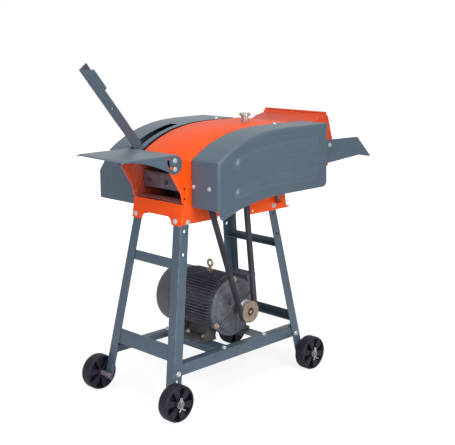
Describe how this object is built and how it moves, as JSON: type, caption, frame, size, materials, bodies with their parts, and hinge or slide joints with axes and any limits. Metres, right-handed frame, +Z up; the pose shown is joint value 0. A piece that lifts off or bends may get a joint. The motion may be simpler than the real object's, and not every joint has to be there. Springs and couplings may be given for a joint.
{
  "type": "chaff cutter",
  "caption": "Electric chaff cutter: straw is fed by rollers from a tray to a belt-driven knife drum and leaves under a hinged flap, on a wheeled angle-iron stand.",
  "frame": {"origin": "on the floor, in the middle of the four legs", "axes": "+X along the feed, from the discharge flap towards the feed tray; +Y towards the gear cover and lever; +Z up"},
  "size_m": [0.9955, 0.498, 0.924],
  "materials": {
    "grey_paint": "satin",
    "orange_paint": "satin",
    "dark_iron": "matte",
    "zinc": "satin",
    "bare_steel": "satin",
    "belt_rubber": "matte",
    "wheel_plastic": "satin"
  },
  "bodies": {
    "frame": {"leg_discharge_near": "grey_paint", "leg_discharge_far": "grey_paint", "leg_feed_near": "grey_paint", "leg_feed_far": "grey_paint", "upper_bar_discharge": "grey_paint", "upper_bar_feed": "grey_paint", "lower_bar_discharge": "grey_paint", "lower_bar_feed": "grey_paint", "side_bar_near": "grey_paint", "side_bar_far": "grey_paint", "motor_rail_discharge": "grey_paint", "motor_rail_feed": "grey_paint", "feed_tray": "grey_paint", "belt_cover": "grey_paint", "gear_cover": "grey_paint", "side_plate_near": "orange_paint", "side_plate_far": "orange_paint", "apron_discharge": "orange_paint", "apron_feed": "orange_paint", "top_cover": "orange_paint", "drum_concave": "orange_paint", "throat_floor": "orange_paint", "feed_hood": "orange_paint", "brackets": "orange_paint", "bearing_housings": "dark_iron", "motor_frame": "dark_iron", "motor_end_bell": "dark_iron", "motor_fan_cover": "dark_iron", "terminal_box": "dark_iron", "motor_eyebolt": "zinc", "frame_bolts": "zinc", "cover_bolts": "zinc", "flap_bolts": "zinc", "top_bolt": "zinc", "arm_pins": "zinc", "float_springs": "zinc", "idler_pin": "zinc", "lever_pin": "zinc", "wheel_axles": "zinc", "axle_washers": "zinc", "shear_bar": "bare_steel", "drive_belt": "belt_rubber"},
    "rotor": {"main_shaft": "bare_steel", "cutter_drum": "dark_iron", "knives": "bare_steel", "knife_bolts": "bare_steel", "main_pulley": "dark_iron", "drive_pinion": "bare_steel"},
    "motor_rotor": {"motor_shaft": "bare_steel", "motor_pulley": "bare_steel"},
    "idler": {"idler_gear": "bare_steel"},
    "bottom_roller": {"lower_roller": "dark_iron"},
    "swing_arms": {"roller_arms": "dark_iron"},
    "top_roller": {"upper_roller": "dark_iron"},
    "lever": {"feed_lever": "grey_paint"},
    "flap": {"discharge_flap": "grey_paint"},
    "wheel_a": {"wheel_discharge_near": "wheel_plastic"},
    "wheel_b": {"wheel_discharge_far": "wheel_plastic"},
    "wheel_c": {"wheel_feed_near": "wheel_plastic"},
    "wheel_d": {"wheel_feed_far": "wheel_plastic"}
  },
  "joints": [
    {"name": "main_shaft_spin", "type": "hinge", "parent": "frame", "child": "rotor", "pos_m": [-0.056, 0, 0.612], "axis": [0, 1, 0], "continuous": true},
    {"name": "motor_spin", "type": "hinge", "parent": "frame", "child": "motor_rotor", "pos_m": [0.035, 0, 0.226], "axis": [0, 1, 0], "continuous": true},
    {"name": "idler_spin", "type": "hinge", "parent": "frame", "child": "idler", "pos_m": [0.01008, 0.128, 0.5834], "axis": [0, 1, 0], "continuous": true},
    {"name": "lower_roller_spin", "type": "hinge", "parent": "frame", "child": "bottom_roller", "pos_m": [0.085, 0, 0.58], "axis": [0, 1, 0], "continuous": true},
    {"name": "roller_lift", "type": "hinge", "parent": "frame", "child": "swing_arms", "pos_m": [0.01, 0, 0.668], "axis": [0, -1, 0], "range_deg": [0, 9], "stiffness_Nm_per_rad": 60, "springref_deg": -6.88, "deforming": ["float_springs"]},
    {"name": "upper_roller_spin", "type": "hinge", "parent": "swing_arms", "child": "top_roller", "pos_m": [0.085, 0, 0.65], "axis": [0, 1, 0], "continuous": true},
    {"name": "feed_lever_swing", "type": "hinge", "parent": "frame", "child": "lever", "pos_m": [-0.0878, 0.141, 0.637], "axis": [0, 1, 0], "range_deg": [0, 74]},
    {"name": "flap_tilt", "type": "hinge", "parent": "frame", "child": "flap", "pos_m": [-0.2106, 0, 0.6787], "axis": [0, -1, 0], "range_deg": [0, 75]},
    {"name": "wheel_discharge_near_spin", "type": "hinge", "parent": "frame", "child": "wheel_a", "pos_m": [-0.27341, -0.166, 0.05], "axis": [0, 1, 0], "continuous": true},
    {"name": "wheel_discharge_far_spin", "type": "hinge", "parent": "frame", "child": "wheel_b", "pos_m": [-0.27341, 0.166, 0.05], "axis": [0, 1, 0], "continuous": true},
    {"name": "wheel_feed_near_spin", "type": "hinge", "parent": "frame", "child": "wheel_c", "pos_m": [0.27341, -0.166, 0.05], "axis": [0, 1, 0], "continuous": true},
    {"name": "wheel_feed_far_spin", "type": "hinge", "parent": "frame", "child": "wheel_d", "pos_m": [0.27341, 0.166, 0.05], "axis": [0, 1, 0], "continuous": true}
  ],
  "couplings": [
    {"joint": "motor_spin", "follows": "main_shaft_spin", "ratio": 2.6852},
    {"joint": "idler_spin", "follows": "main_shaft_spin", "ratio": -0.33333},
    {"joint": "lower_roller_spin", "follows": "main_shaft_spin", "ratio": 0.22222},
    {"joint": "upper_roller_spin", "follows": "main_shaft_spin", "ratio": -0.22222}
  ]
}
